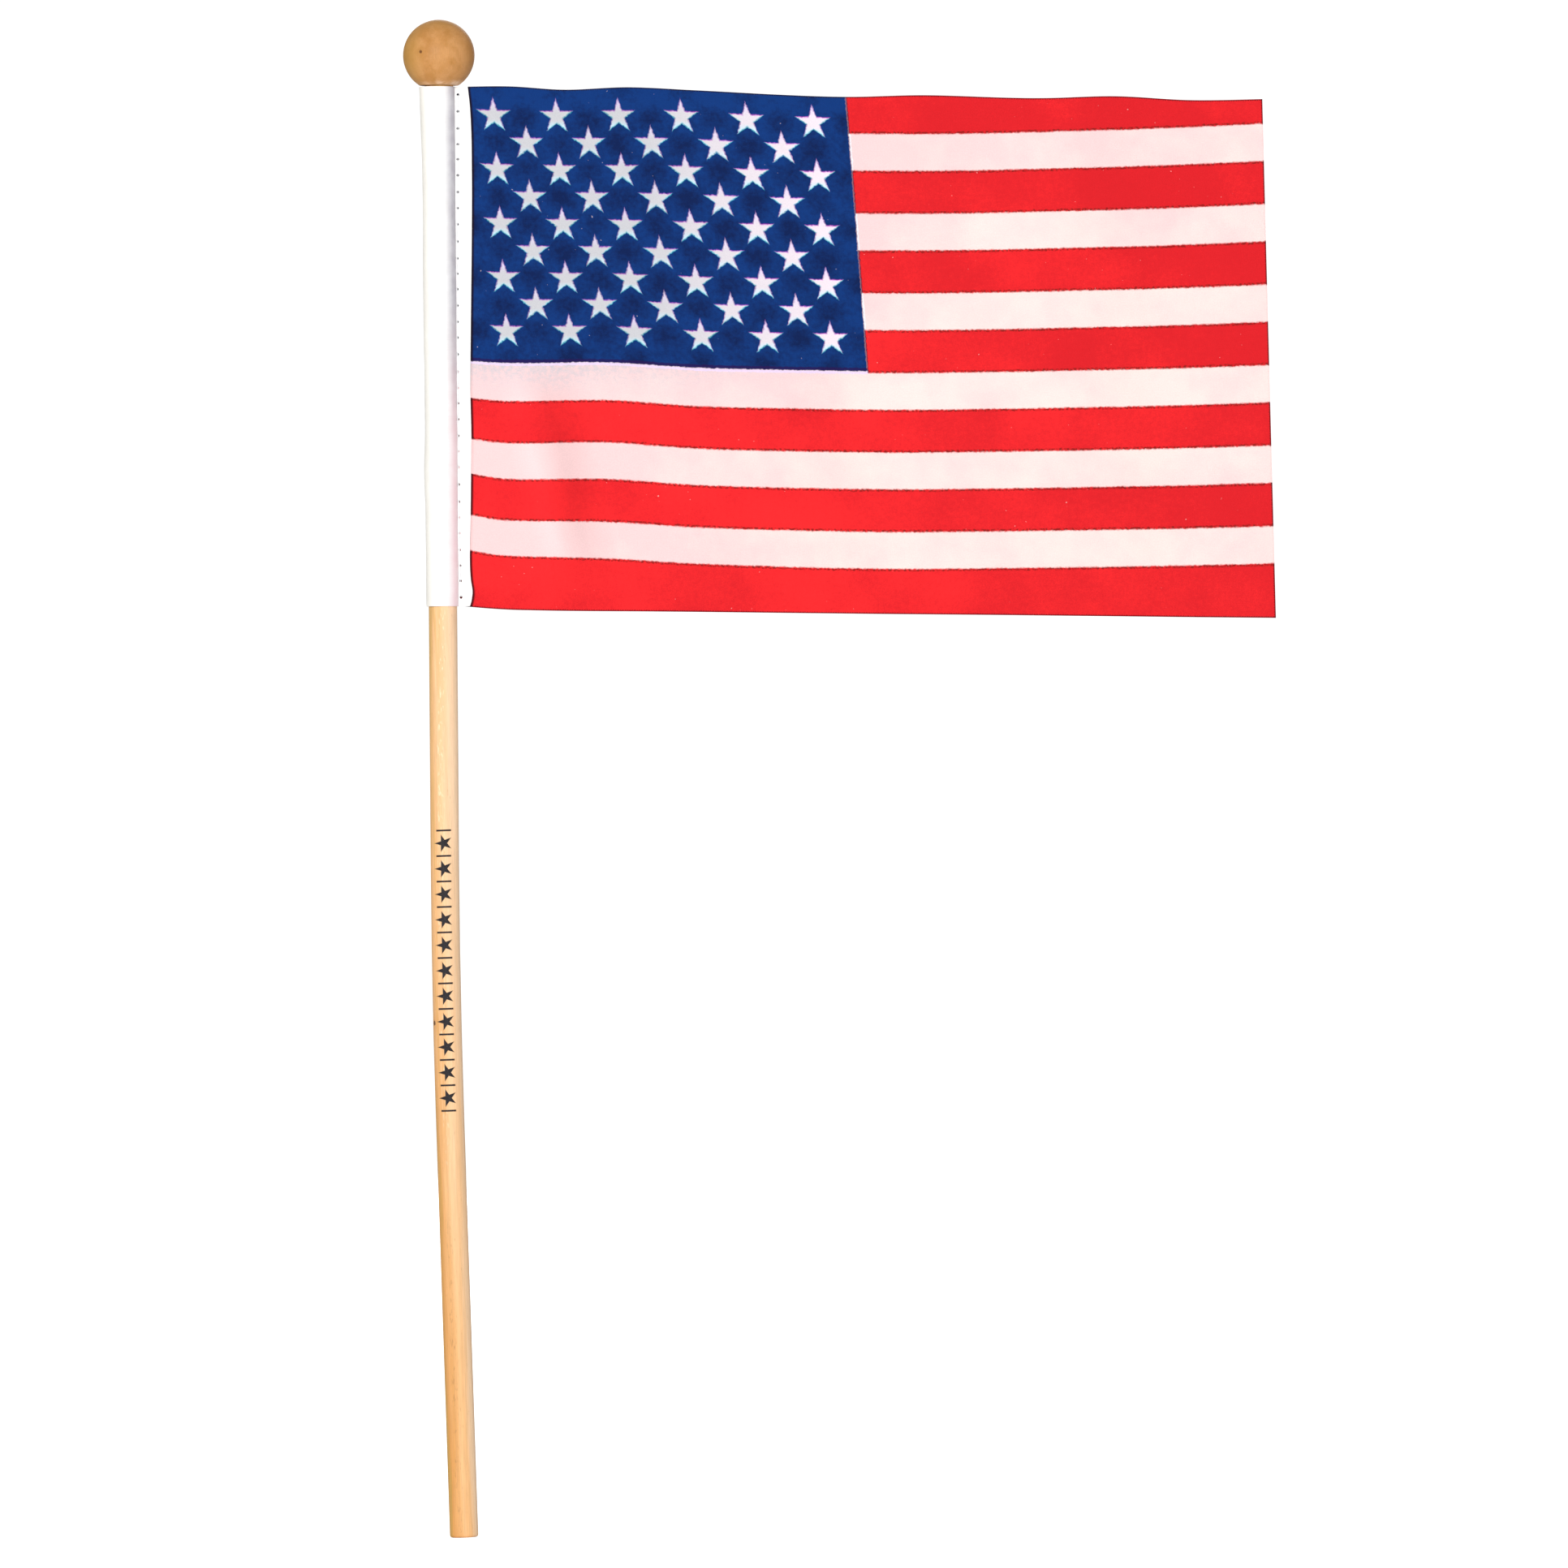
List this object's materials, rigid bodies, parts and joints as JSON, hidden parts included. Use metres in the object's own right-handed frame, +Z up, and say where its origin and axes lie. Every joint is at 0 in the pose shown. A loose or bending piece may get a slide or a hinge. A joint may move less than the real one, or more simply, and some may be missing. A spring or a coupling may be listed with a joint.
{
  "type": "stick flag",
  "caption": "Small stars-and-stripes cloth flag on a round wooden stick with a turned ball on top; its sewn sleeve turns on the stick.",
  "frame": {"origin": "centre of the stick's lower end", "axes": "+Z up the stick's lower stretch towards the ball, +X the way the flag flies, -Y the way the flag's face looks"},
  "size_m": [0.1684, 0.014, 0.2968],
  "materials": {
    "dowel_wood": "bare sanded birch",
    "ball_wood": "bare turned wood",
    "glue": "dried wood glue",
    "sleeve_cloth": "white plain weave",
    "printed_cloth": "printed plain weave, stripes and a starred canton",
    "thread": "white spun polyester"
  },
  "bodies": {
    "stick": {"dowel": "dowel_wood", "ball_finial": "ball_wood", "finial_glue": "glue"},
    "flag": {"pole_sleeve": "sleeve_cloth", "flag_field": "printed_cloth", "needle_thread": "thread", "bobbin_thread": "thread"}
  },
  "joints": [
    {"name": "flag_turn", "type": "hinge", "parent": "stick", "child": "flag", "pos_m": [0.00331, 0, 0.23296], "axis": [0.0262, 0, 0.9997], "continuous": true}
  ]
}
